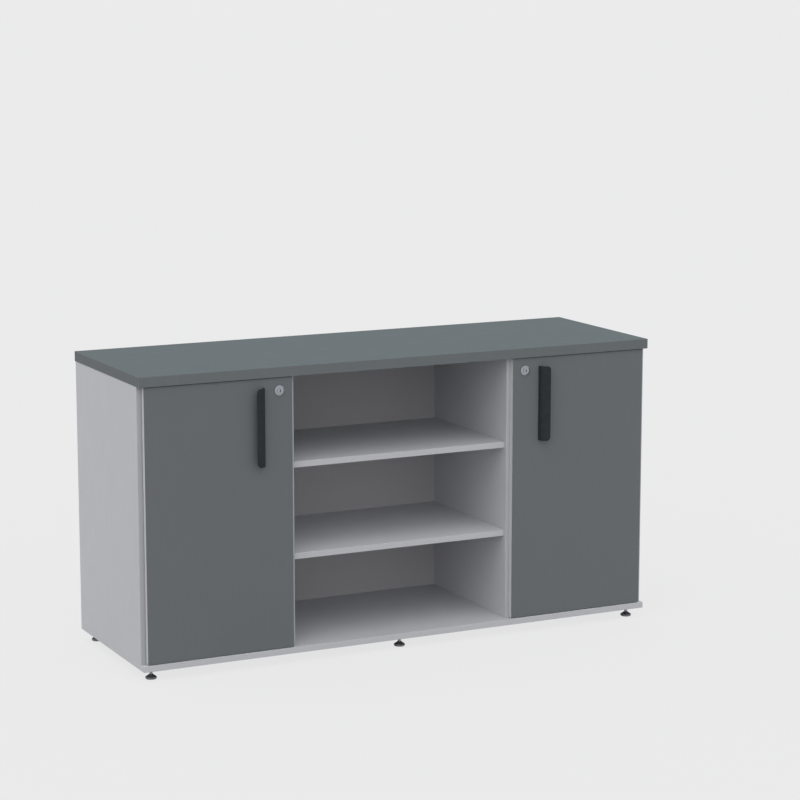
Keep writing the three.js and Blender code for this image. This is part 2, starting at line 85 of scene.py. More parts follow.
# Locks
ROSETTE_RADIUS = 12.8
ROSETTE_THICKNESS = 2.2
ROSETTE_ARRIS, ROSETTE_ARRIS_MIDDLE = 0.8, 0.25
COLLAR_RADIUS = 9.2
COLLAR_ARRIS, COLLAR_ARRIS_MIDDLE = 0.5, 0.15
BARREL_RADIUS = 9.2
CORE_RADIUS = 6.0
CORE_HEAD_RADIUS = 7.6
CORE_HEAD_HEIGHT = 1.6
CORE_HEAD_ARRIS = 0.4
CORE_HEAD_RING = 0.6
CORE_GAP = 0.2
BORE_CHAMFER = 0.3
KEY_SLOT = (1.1, 3.75)
KEY_SLOT_DEPTH = 9.0
SPIGOT_HALF = 3.0
SPIGOT_LENGTH = 4.0
NUT_HALF_WIDTH = 11.5
NUT_THICKNESS = 2.6
NUT_GAP = 0.1
NUT_CHAMFER, NUT_CHAMFER_HEIGHT = 0.4, 0.6
LOCK_PLATE_ROUND = 0.3

# Hinges: distances from the side panel's inner face, and behind the uprights' front edges
CUP_OFFSET = 17.6
FLANGE_MIDDLE = 6.0
FLANGE_SCREW_SPACING = 45.0
FLANGE_SCREW_HEIGHT = 1.2
PLATE_MIDDLE = 31.0
PLATE_THICKNESS = 2.5
PLATE_SCREW_SPACING = 32.0
ARM_HEIGHT = 15.3
ARM_SCREWS = (19.0, 41.0)
ARM_SCREW_RADIUS, ARM_SCREW_HEIGHT = 3.2, 1.0
CUP_ROUND, ARM_ROUND = 0.25, 0.35
PIN_CHAMFER = 0.2

# Feet
FOOT_RIM = 5.0
FOOT_SEAM = 0.3
FOOT_CONE_SETBACK = 0.9
FOOT_CHAMFER = 1.0
FOOT_NECK_RADIUS = 6.0
FOOT_NECK_HEIGHT = 11.0
STEM_SEAT = 4.0
STEM_PLAY = 0.15
THREAD_PITCH = 1.25
THREAD_DEPTH = 0.6
INSERT_RADIUS = 9.0
INSERT_HOLE = 4.5
INSERT_THICKNESS = 1.2
INSERT_CHAMFER = 0.4

# Shelf supports, strikes, connector caps and screws
SUPPORT_ROUND = 0.25
STRIKE_WALL = 1.5
STRIKE_SCREW_SETBACK = 2.0
STRIKE_SCREW_RADIUS, STRIKE_SCREW_HEIGHT = 3.0, 1.2
STRIKE_SCREW_RISES = (-7, 7)
CAP_RADIUS = 8.5
CAP_HEIGHT = 1.0
CAP_INSET = 34.0
CAP_DEPTH_INSET = 62.0
SCREW_RADIUS = 3.6
SCREW_HEIGHT = 1.8

Sheet = namedtuple("Sheet", "points ring caps")
ORDER = {"x": (1, 2, 0), "y": (0, 2, 1), "z": (0, 1, 2)}


def box(node):
    """Lowest and highest corner of a CAD node at rest."""
    low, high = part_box(node)
    return np.array(low) / MM, np.array(high) / MM


def middle(node):
    """Middle of a CAD node's box at rest."""
    low, high = box(node)
    return (low + high) / 2


# Surfaces
def placed(first, second, along, axis, centre):
    """Points from two distances across an axis and one along it, counted from the centre."""
    points = np.empty(np.broadcast(first, second, along).shape + (3,))
    for value, index in zip((first, second, along), ORDER[axis]):
        points[..., index] = value + centre[index]
    return points


def turned(profile, axis, centre, sides=ROUND_SIDES, ring=False, sense=1):
    """Surface of revolution: at angle a the point lies at (radius cos a, radius sin a), at its height along
    the axis. A radius may be a function of the angle, which gives square, hexagonal or slotted rings.
    A sense of -1 counts the heights backwards."""
    angle = np.linspace(0, 2 * np.pi, sides, endpoint=False)
    radius = np.stack([np.broadcast_to(r(angle) if callable(r) else r, angle.shape) for r, _ in profile])
    along = sense * np.array([height for _, height in profile], float)[:, None]
    return Sheet(placed(radius * np.cos(angle), radius * np.sin(angle), along, axis, centre), ring, False)


def carried(profile, half, reach, axis, centre, ring=False):
    """Profile carried round a rectangle with round corners: the corner centres lie reach inside the
    rectangle, and each profile point goes its own distance out from them along the turning direction."""
    out, along = np.asarray(profile, float).T
    angle = (np.arange(4)[:, None] + np.linspace(0, 1, CORNER_STEPS + 1)).ravel() * np.pi / 2
    first_sign = np.repeat([1, -1, -1, 1], CORNER_STEPS + 1)
    second_sign = np.repeat([1, 1, -1, -1], CORNER_STEPS + 1)
    first = first_sign * (half[0] - reach) + out[:, None] * np.cos(angle)
    second = second_sign * (half[1] - reach) + out[:, None] * np.sin(angle)
    return Sheet(placed(first, second, along[:, None], axis, centre), ring, not ring)


def edge_profile(low, high, reach, low_round, high_round):
    """Edge of a board as (out, along) points: a quarter circle, a straight stretch and a quarter circle."""
    quarter = np.linspace(0, np.pi / 2, EDGE_STEPS + 1)
    lower = (reach - low_round * (1 - np.sin(quarter)), low + low_round * (1 - np.cos(quarter)))
    upper = (reach - high_round * (1 - np.cos(quarter)), high - high_round * (1 - np.sin(quarter)))
    return np.concatenate([np.stack(lower, 1), np.stack(upper, 1)])


def block(low, high, low_round, high_round=None, axis=None):
    """Block with round edges: its edge profile is carried round the rectangle across its axis,
    which is its thinnest side unless another is given."""
    low, high = np.asarray(low, float), np.asarray(high, float)
    half = (high - low) / 2
    axis = axis or "xyz"[int(half.argmin())]
    first, second, along = ORDER[axis]
    high_round = low_round if high_round is None else high_round
    reach = max(low_round, high_round)
    profile = edge_profile(-half[along], half[along], reach, low_round, high_round)
    return carried(profile, (half[first], half[second]), reach, axis, (low + high) / 2)


def band_ring(low, high, thickness, rounding, axis):
    """Band round a board: a closed strip profile with two round outer arrises, carried round the
    board's outline."""
    low, high = np.asarray(low, float), np.asarray(high, float)
    half = (high - low) / 2
    first, second, along = ORDER[axis]
    outer = edge_profile(-half[along], half[along], thickness, rounding, rounding)
    inner = [(0, half[along]), (0, -half[along])]
    profile = np.concatenate([outer, inner])
    return carried(profile, (half[first], half[second]), thickness, axis, (low + high) / 2, ring=True)


def rectangle_radius(half_width, half_height):
    """Distance from the middle of a rectangle to its outline, as a function of the angle."""
    def radius(angle):
        across = half_width / np.maximum(np.abs(np.cos(angle)), 1e-6)
        upward = half_height / np.maximum(np.abs(np.sin(angle)), 1e-6)
        return np.minimum(across, upward)
    return radius


def cross_radius(half_width, half_length):
    """Distance from the middle of a cross to its outline: the further of its two bars."""
    level, upright = rectangle_radius(half_length, half_width), rectangle_radius(half_width, half_length)
    return lambda angle: np.maximum(level(angle), upright(angle))


def hexagon_radius(half_width):
    """Distance from the middle of a hexagon to its outline, which is half its width across flats over
    the cosine of the angle from the nearest flat."""
    return lambda angle: half_width / np.cos((angle + np.pi / 6) % (np.pi / 3) - np.pi / 6)


def round_rim(radius, height, rounding):
    """Quarter circle from a turned piece's wall to its end face, as (radius, height) points."""
    quarter = np.linspace(0, np.pi / 2, EDGE_STEPS + 1)
    rim = (radius - rounding * (1 - np.cos(quarter)), height - rounding * (1 - np.sin(quarter)))
    return list(zip(*rim))


def screw_head(axis, seat, sense, radius=SCREW_RADIUS, height=SCREW_HEIGHT):
    """Pan head on its seat: a wall, a round rim, a low dome, and a cross recess sunk from the dome."""
    cross = cross_radius(0.14 * radius, 0.58 * radius)
    profile = [(0, 0), (radius, 0), *round_rim(radius, 0.8 * height, 0.5 * height)]
    profile += [(0.66 * radius, height), (cross, height), (cross, 0.35 * height), (0, 0.35 * height)]
    return turned(profile, axis, seat, sides=24, sense=sense)


def cap_disc(axis, seat, sense):
    """Connector cap: a thin disc with a round rim and a shallow dish in its face."""
    dish_floor = 0.7 * CAP_HEIGHT
    profile = [(0, 0), (CAP_RADIUS, 0), *round_rim(CAP_RADIUS, CAP_HEIGHT, 0.7 * CAP_HEIGHT)]
    profile += [(0.8 * CAP_RADIUS, CAP_HEIGHT), (0.72 * CAP_RADIUS, dish_floor), (0, dish_floor)]
    return turned(profile, axis, seat, sides=28, sense=sense)


# Pieces
def faces_of(sheet, offset):
    """Quads between neighbouring points of a sheet, whose rows are closed rings, and its end caps."""
    rows, columns = sheet.points.shape[:2]
    strips = rows if sheet.ring else rows - 1
    row, column = np.meshgrid(np.arange(strips), np.arange(columns), indexing="ij")
    next_row, next_column = (row + 1) % rows, (column + 1) % columns
    corners = [(row, column), (row, next_column), (next_row, next_column), (next_row, column)]
    quads = np.stack([r * columns + c for r, c in corners], axis=-1).reshape(-1, 4) + offset
    faces = quads.tolist()
    if sheet.caps:
        first = np.arange(columns) + offset
        faces += [first[::-1].tolist(), (first + (rows - 1) * columns).tolist()]
    return faces


def cut_back(work, point, normal):
    """Takes away what lies beyond a plane and closes the cut."""
    geometry = [*work.verts, *work.edges, *work.faces]
    plane = {"plane_co": np.array(point) * MM, "plane_no": normal, "clear_outer": True}
    cut = bmesh.ops.bisect_plane(work, geom=geometry, **plane)["geom_cut"]
    bmesh.ops.edgenet_fill(work, edges=[e for e in cut if isinstance(e, bmesh.types.BMEdge)])


def closed_mesh(name, sheets, cut=None):
    """Mesh of several sheets: equal points are welded to close seams and poles, a cut is made if a point
    and a direction are given, and the faces are turned outwards."""
    offsets = np.cumsum([0] + [s.points.shape[0] * s.points.shape[1] for s in sheets])
    vertices = np.concatenate([s.points.reshape(-1, 3) for s in sheets]) * MM
    faces = [face for sheet, offset in zip(sheets, offsets) for face in faces_of(sheet, int(offset))]
    mesh = bpy.data.meshes.new(name)
    mesh.from_pydata(vertices, [], faces)
    work = bmesh.new()
    work.from_mesh(mesh)
    bmesh.ops.remove_doubles(work, verts=work.verts, dist=WELD)
    if cut:
        cut_back(work, *cut)
    bmesh.ops.recalc_face_normals(work, faces=work.faces)
    work.to_mesh(mesh)
    work.free()
    return mesh


def dressed(mesh, body, finish, replaces=()):
    """Object of a mesh, smooth but for its sharp edges, riding on a body."""
    mesh.shade_smooth()
    mesh.set_sharp_from_angle(angle=SHARP_ANGLE)
    mesh.materials.clear()
    mesh.materials.append(finish)
    obj = bpy.data.objects.new(mesh.name, mesh)
    bpy.context.scene.collection.objects.link(obj)
    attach(obj, body)
    if replaces:
        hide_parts(*replaces)
    return obj


def shaded_evenly(obj):
    """Lets large flat faces set the shading of the small round ones beside them."""
    even = obj.modifiers.new("even_shading", "WEIGHTED_NORMAL")
    even.keep_sharp = True
    return obj


def piece(name, body, finish, sheets, replaces=(), cut=None):
    """Piece made of sheets; replaces names the CAD nodes that it stands in for."""
    return shaded_evenly(dressed(closed_mesh(name, sheets, cut), body, finish, replaces))


def softened(node, body, finish, rounding, front=None):
    """Copy of a CAD node: its triangles merged into flat faces, cut back to a front plane if one is given,
    and its edges rounded by a bevel."""
    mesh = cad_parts[node].data.copy()
    mesh.name = f"{node}_rounded"
    work = bmesh.new()
    work.from_mesh(mesh)
    bmesh.ops.remove_doubles(work, verts=work.verts, dist=WELD)
    if front is not None:
        cut_back(work, (0, front, 0), (0, -1, 0))
    bmesh.ops.dissolve_limit(work, angle_limit=FLAT_ANGLE, verts=work.verts, edges=work.edges)
    bmesh.ops.recalc_face_normals(work, faces=work.faces)
    work.to_mesh(mesh)
    work.free()
    obj = dressed(mesh, body, finish, [node])
    bevel = obj.modifiers.new("round_edges", "BEVEL")
    bevel.width = rounding * MM
    bevel.segments = 2
    bevel.limit_method = "ANGLE"
    bevel.angle_limit = SHARP_ANGLE
    return shaded_evenly(obj)


# Finishes
def linear(red, green, blue):
    """Screen colour of 0 to 255 as the linear colour that a shader takes."""
    screen = np.array([red, green, blue]) / 255
    light = np.where(screen <= 0.04045, screen / 12.92, ((screen + 0.055) / 1.055) ** 2.4)
    return (*light.tolist(), 1.0)


class Finish:
    """A material built node by node: an input that is a socket is linked, and any other is set."""

    def __init__(self, name, **shader):
        self.material = bpy.data.materials.new(name)
        self.material.use_nodes = True
        self.nodes = self.material.node_tree.nodes
        self.links = self.material.node_tree.links
        self.shader = self.nodes["Principled BSDF"]
        self.give(self.shader, {key.replace("_", " "): value for key, value in shader.items()})
        self.place = self.add("ShaderNodeTexCoord", "Object", {})

    def give(self, node, inputs):
        """Links or sets a node's inputs."""
        for key, value in inputs.items():
            if isinstance(value, bpy.types.NodeSocket):
                self.links.new(value, node.inputs[key])
            else:
                node.inputs[key].default_value = value

    def add(self, kind, output, inputs, **settings):
        """New node of a kind; gives back one of its outputs."""
        node = self.nodes.new(kind)
        for key, value in settings.items():
            setattr(node, key, value)
        self.give(node, inputs)
        return node.outputs[output]

    def noise(self, scale, detail=2.0, stretch=(1, 1, 1)):
        """Noise whose grains are stretched: a direction with a small factor has long grains."""
        vector = self.add("ShaderNodeMapping", "Vector", {"Vector": self.place, "Scale": stretch})
        return self.add("ShaderNodeTexNoise", "Fac", {"Vector": vector, "Scale": scale, "Detail": detail})

    def spread(self, value, low, high):
        """Noise values, which lie about one half, spread over a range."""
        inputs = {"Value": value, "From Min": 0.3, "From Max": 0.7, "To Min": low, "To Max": high}
        return self.add("ShaderNodeMapRange", "Result", inputs)

    def blend(self, share, first, second):
        """Colour that goes from the first to the second with the share."""
        node = self.nodes.new("ShaderNodeMix")
        node.data_type = "RGBA"
        self.links.new(share, node.inputs["Factor"])
        for socket, value in (("A_Color", first), ("B_Color", second)):
            target = next(i for i in node.inputs if i.identifier == socket)
            if isinstance(value, bpy.types.NodeSocket):
                self.links.new(value, target)
            else:
                target.default_value = value
        return next(o for o in node.outputs if o.identifier == "Result_Color")

    def behind(self, depth, blur=0.1):
        """Nought in front of a depth along y and one behind it."""
        y = self.add("ShaderNodeSeparateXYZ", "Y", {"Vector": self.place})
        inputs = {"Value": y, "From Min": depth * MM, "From Max": (depth + blur) * MM}
        return self.add("ShaderNodeMapRange", "Result", inputs)

    def bump(self, height, strength, distance):
        """Gives the shader a relief, its depth in millimetres."""
        inputs = {"Height": height, "Strength": strength, "Distance": distance * MM}
        self.give(self.shader, {"Normal": self.add("ShaderNodeBump", "Normal", inputs)})


def shade(colour, factor):
    """A screen colour made lighter or darker by a factor on its linear values."""
    return (*[channel * factor for channel in linear(*colour)[:3]], 1.0)


def board_finish(name, colour, grain, roughness, specular):
    """Melamine board: cloudy tone, fine fibres along the grain and a pearl texture.
    grain gives the stretch of the fibres along x, y and z."""
    finish = Finish(name, **{"Specular_IOR_Level": specular})
    cloud = finish.spread(finish.noise(7, 3), 0, 1)
    fibre = finish.spread(finish.noise(420, 3, grain), 0, 1)
    speckle = finish.noise(1600, 1)
    tone = finish.blend(cloud, shade(colour, 0.985), shade(colour, 1.015))
    fibred = finish.blend(finish.spread(fibre, 0, 0.5), tone, shade(colour, 0.985))
    finish.give(finish.shader, {"Base Color": fibred})
    finish.give(finish.shader, {"Roughness": finish.spread(fibre, roughness - 0.05, roughness + 0.05)})
    finish.bump(speckle, 0.12, 0.05)
    return finish.material


def band_finish(name, colour, roughness, specular, face=None):
    """Extruded edge band: an even tone with faint lengthwise drawing lines and a soft gloss.
    face gives a board's colour and a depth: the arris in front of that depth takes that colour, painted
    shade in place of a lit pale arris."""
    finish = Finish(name, **{"Specular_IOR_Level": specular})
    line = finish.noise(900, 2, (1, 1, 0.02))
    tone = finish.blend(finish.spread(line, 0, 1), shade(colour, 0.98), shade(colour, 1.02))
    if face:
        tone = finish.blend(finish.behind(face[1]), linear(*face[0]), tone)
    finish.give(finish.shader, {"Base Color": tone})
    finish.give(finish.shader, {"Roughness": finish.spread(line, roughness - 0.04, roughness + 0.04)})
    finish.bump(finish.noise(700, 1), 0.06, 0.04)
    return finish.material


def coat_finish(name, colour, roughness, specular=0.3):
    """Powder coat or moulded plastic: a dark tone with a fine orange-peel surface."""
    finish = Finish(name, **{"Specular_IOR_Level": specular})
    peel = finish.noise(1100, 2)
    tone = finish.blend(finish.spread(finish.noise(60, 2), 0, 1), shade(colour, 0.9), shade(colour, 1.12))
    finish.give(finish.shader, {"Base Color": tone})
    finish.give(finish.shader, {"Roughness": finish.spread(peel, roughness - 0.07, roughness + 0.07)})
    finish.bump(peel, 0.2, 0.08)
    return finish.material


def metal_finish(name, colour, roughness, brush):
    """Plated steel: brushed lines stretched along one direction, with a slightly uneven polish."""
    finish = Finish(name, Metallic=1.0)
    line = finish.noise(1500, 2, brush)
    cloud = finish.spread(finish.noise(40, 2), 0, 1)
    tone = finish.blend(cloud, shade(colour, 0.93), shade(colour, 1.05))
    finish.give(finish.shader, {"Base Color": tone})
    finish.give(finish.shader, {"Roughness": finish.spread(line, roughness - 0.06, roughness + 0.08)})
    finish.bump(line, 0.05, 0.03)
    return finish.material


UPRIGHT_GRAIN, LEVEL_GRAIN = (1, 1, 0.03), (0.03, 1, 1)
# Beside GREY, the grey tones here are lit and shaded copies of one board grey and band: painted shade or
# painted light, as said at each finish.
GREY, BACK_GREY_SHADED, SHELF_GREY_LIT = (191, 192, 196), (181, 180, 183), (197, 198, 202)
SHELF_BAND_GREY_SHADED, DOOR_BAND_GREY_LIT = (188, 189, 193), (198, 199, 203)
SIDE_BAND_GREY_SHADED, DIVIDER_BAND_GREY_SHADED = (172, 173, 177), (181, 182, 186)
# The worktop's slate is the door slate made darker and tinted cyan: a painted tint of the sky light from
# above, darkened as painted shade against the light on top.
SLATE, SLATE_TOP_SKY_TINTED, SLATE_EDGE = (103, 108, 111), (94, 104, 107), (107, 112, 115)
# Depth behind the door's front face: the door band's arris in front of it is painted slate, painted shade
# in place of a lit arris.
ARRIS_SHADE_DEPTH = 0.6
grey_upright = board_finish("grey_board_upright", GREY, UPRIGHT_GRAIN, 0.55, 0.3)
grey_level = board_finish("grey_board_level", GREY, LEVEL_GRAIN, 0.55, 0.3)
# Shelves: the board grey made lighter, painted light on the shelves.
grey_shelf_lit = board_finish("grey_board_shelf_lit", SHELF_GREY_LIT, LEVEL_GRAIN, 0.55, 0.3)
# Back panels: the board grey made darker, painted shade on the backs of the niche and cupboards.
grey_back_shaded = board_finish("grey_board_back_shaded", BACK_GREY_SHADED, UPRIGHT_GRAIN, 0.55, 0.2)
slate_door = board_finish("slate_board_door", SLATE, UPRIGHT_GRAIN, 0.55, 0.3)
# Worktop: painted cyan sky tint, darker as painted shade against the light on top.
slate_top_sky_tinted = board_finish("slate_board_top_sky_tinted", SLATE_TOP_SKY_TINTED, LEVEL_GRAIN, 0.65, 0.1)
bottom_edge = band_finish("grey_band_bottom", GREY, 0.45, 0.35)
# Shelf bands: a shade darker than the board grey, painted shade on the shelves' front edges.
shelf_band_shaded = band_finish("grey_band_shelf_shaded", SHELF_BAND_GREY_SHADED, 0.45, 0.35)
# Side panels' bands: darker than the board grey, painted shade where the door stands beside them.
side_band_shaded = band_finish("grey_band_side_shaded", SIDE_BAND_GREY_SHADED, 0.5, 0.25)
# Dividers' bands: darker than the board grey, painted shade where the doors stand beside them.
divider_band_shaded = band_finish("grey_band_divider_shaded", DIVIDER_BAND_GREY_SHADED, 0.5, 0.25)
# Door bands: lighter than the board grey, painted light on their faces, with the front arris in the door's
# slate as painted shade.
door_arris_shade = (SLATE, box("left_door")[0][1] + ARRIS_SHADE_DEPTH)
door_band_lit_shaded_arris = band_finish("grey_band_door_lit_shaded_arris", DOOR_BAND_GREY_LIT, 0.45, 0.35, door_arris_shade)
slate_edge = band_finish("slate_band", SLATE_EDGE, 0.6, 0.05)
black_coat = coat_finish("black_handle_coat", (42, 47, 50), 0.55, 0.15)
foot_plastic = coat_finish("foot_plastic", (68, 70, 73), 0.5)
glide_plastic = coat_finish("glide_plastic", (124, 124, 124), 0.5)
cap_plastic = coat_finish("cap_plastic", (176, 177, 181), 0.5)
nickel = metal_finish("nickel", (196, 198, 200), 0.3, (1, 1, 0.05))
satin = metal_finish("satin_chrome", (168, 172, 178), 0.35, (1, 0.05, 1))


# Carcass
carcass_front = box("left_side_panel")[0][1]
bay_floor = box("bottom_panel")[1][2]
bay_ceiling = box("top_panel")[0][2]
NICHE = (box("left_divider")[1][0], box("right_divider")[0][0])
CUPBOARDS = {
    "left": (box("left_side_panel")[1][0], box("left_divider")[0][0]),
    "right": (box("right_divider")[1][0], box("right_side_panel")[0][0]),
}


def with_span(bounds, index, span):
    """A box with one of its three spans set, which leaves out dowels that stand proud of the board."""
    low, high = bounds
    low[index], high[index] = span
    return low, high


def grey_board(node, bounds, finish, edge_finish=None):
    """Board with a band on its front edge; the band takes its own thickness from the board."""
    low, high = bounds
    edge = low[1] + BAND if edge_finish else low[1]
    core = block((low[0], edge, low[2]), high, BOARD_ROUND)
    piece(f"{node}_core", "carcass", finish, [core], [node])
    if edge_finish:
        front_band(node, low, high, edge_finish)


def front_band(node, low, high, finish):
    """Strip on a board's front edge, round at the front and nearly square against the board."""
    strip = block(low, (high[0], low[1] + BAND, high[2]), BAND_ROUND, BAND_BACK_ROUND, "y")
    piece(f"{node}_front_band", "carcass", finish, [strip])


def make_carcass():
    """Grey boards, each cut to its bay so that no dowel shows, with a band on every front edge."""
    for side in SIDES:
        for node, edge in ((f"{side}_side_panel", side_band_shaded), (f"{side}_divider", divider_band_shaded)):
            grey_board(node, with_span(box(node), 2, (bay_floor, bay_ceiling)), grey_upright, edge)
        back = f"{side}_back_panel"
        grey_board(back, with_span(box(back), 0, CUPBOARDS[side]), grey_back_shaded)
        grey_board(f"{side}_inner_shelf", box(f"{side}_inner_shelf"), grey_shelf_lit, shelf_band_shaded)
    grey_board("centre_back_panel", with_span(box("centre_back_panel"), 0, NICHE), grey_back_shaded)
    for node in ("lower_open_shelf", "upper_open_shelf"):
        grey_board(node, with_span(box(node), 0, NICHE), grey_shelf_lit, shelf_band_shaded)
    low, high = box("bottom_panel")
    softened("bottom_panel", "carcass", grey_level, BOARD_ROUND, front=low[1] + BAND)
    front_band("bottom_panel", low, high, bottom_edge)


def make_top():
    """Worktop board as modelled, in a band with round arrises."""
    low, high = box("top_edge_band")
    band = band_ring(low, high, BAND, BAND_ROUND, "z")
    piece("top_edge_strip", "carcass", slate_edge, [band], ["top_edge_band"])
    paint("top_panel", slate_top_sky_tinted)


def paint(node, finish):
    """Gives a CAD node that stays in view its finish."""
    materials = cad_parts[node].data.materials
    materials.clear()
    materials.append(finish)


# Doors
def make_door(side):
    """Door board as modelled, in its edge band, which is chamfered on the back of the hinged edge."""
    door, sign = f"{side}_door", SIDES[side]
    low, high = box(f"{door}_edge_band")
    band = band_ring(low, high, BAND, BAND_ROUND, "y")
    hinged = low[0] if sign < 0 else high[0]
    chamfer = ((hinged, high[1] - DOOR_CHAMFER, 0), (sign, 1, 0))
    piece(f"{door}_edge_strip", door, door_band_lit_shaded_arris, [band], [f"{door}_edge_band"], chamfer)
    paint(door, slate_door)


def handle_outline(free, inset, reach):
    """Section of the bent bar in each row, as distances across the door and out from it: a middle line
    rises from the door, follows the bend and runs straight to the free edge. The outline lies half a wall
    to either side of the line, less an inset, and goes round the free edge in two quarter circles."""
    half = HANDLE_WALL / 2
    radius = HANDLE_BEND - half
    tip = (free - HANDLE_ARRIS)[:, None]
    share = np.linspace(0, 1, HANDLE_STEPS)
    last = np.arccos(np.clip((tip - HANDLE_BEND) / radius, -1, 0))
    turn = np.pi + share * (last - np.pi)
    across, out = HANDLE_BEND + radius * np.cos(turn), reach - HANDLE_BEND + radius * np.sin(turn)
    straight = across[:, -1:] + np.array([0.5, 1]) * np.maximum(tip - HANDLE_BEND, 0)
    column = np.ones_like(tip)
    across = np.concatenate([half * column, across, straight], axis=1)
    out = np.concatenate([0 * column, out, out[:, -1:], out[:, -1:]], axis=1)
    turn = np.concatenate([np.pi * column, turn, last, last], axis=1)
    line, normal = np.stack([across, out], -1), np.stack([np.cos(turn), np.sin(turn)], -1)
    offset = (half - inset)[:, None, None] * normal
    quarter = np.linspace(np.pi / 2, 0, EDGE_STEPS + 1)
    along = np.stack([np.sin(last), -np.cos(last)], -1)
    arris = (HANDLE_ARRIS - inset)[:, None]
    beyond = (arris * np.cos(quarter))[..., None] * along
    rise = (half - HANDLE_ARRIS + arris * np.sin(quarter))[..., None] * normal[:, -1:]
    end = line[:, -1:] + beyond
    outer, inner = [line + offset, end + rise], [end - rise, line - offset]
    return np.concatenate(outer + [points[:, ::-1] for points in inner], axis=1)


def handle_boss(reach):
    """Screw boss under the bar: a cylinder whose end follows the middle line of the bend."""
    angle = np.linspace(0, 2 * np.pi, ROUND_SIDES, endpoint=False)
    across = HANDLE_BOSS_INSET + HANDLE_BOSS_RADIUS * np.cos(angle)
    radius = HANDLE_BEND - HANDLE_WALL / 2
    end = reach - HANDLE_BEND + np.sqrt(radius ** 2 - (HANDLE_BEND - across) ** 2)
    return across, np.stack([0 * end, end]), HANDLE_BOSS_RADIUS * np.sin(angle)


def up_and_down(rows):
    """Values from one end to the middle, followed by the same values back to the other end."""
    return np.concatenate([rows, rows[::-1]])


def make_handle(side):
    """Bent bar: its section is carried up the door, drawn in at the free edge along the round corners
    and drawn in all round at both ends by a small round arris."""
    sign, door, handle = SIDES[side], f"{side}_door", f"{side}_handle"
    low, high = box(handle)
    face, back = box(door)[0][1], box(door)[1][1]
    root, width, reach = low[0] if sign > 0 else high[0], high[0] - low[0], face - low[1]
    quarter = np.linspace(0, np.pi / 2, EDGE_STEPS + 1)
    corner = np.linspace(0, np.pi / 2, HANDLE_STEPS)[1:]
    arris_rise = HANDLE_ARRIS * (1 - np.cos(quarter))
    corner_rise = HANDLE_ARRIS + (HANDLE_CORNER - HANDLE_ARRIS) * (1 - np.cos(corner))
    rise = np.concatenate([arris_rise, corner_rise])
    inset = np.concatenate([HANDLE_ARRIS * (1 - np.sin(quarter)), 0 * corner])
    drawn = HANDLE_CORNER - np.sqrt(np.maximum(HANDLE_CORNER ** 2 - (HANDLE_CORNER - rise) ** 2, 0))
    outline = handle_outline(width - up_and_down(drawn), up_and_down(inset), reach)
    height = np.concatenate([low[2] + rise, high[2] - rise[::-1]])
    x, y = root + sign * outline[..., 0], face - outline[..., 1]
    bar = Sheet(np.stack([x, y, np.broadcast_to(height[:, None], x.shape)], -1), False, True)
    heights = (low[2] + high[2]) / 2 + np.array([-0.5, 0.5]) * HANDLE_BOSS_SPACING
    across, out, upward = handle_boss(reach)
    ends = [placed(sign * across, upward, -out, "y", (root, face, z)) for z in heights]
    bosses = [Sheet(points, False, True) for points in ends]
    piece(f"{handle}_bar", door, black_coat, [bar, *bosses], [handle])
    screws = [screw_head("y", (root + sign * HANDLE_BOSS_INSET, back, z), 1) for z in heights]
    piece(f"{handle}_screws", door, nickel, screws)


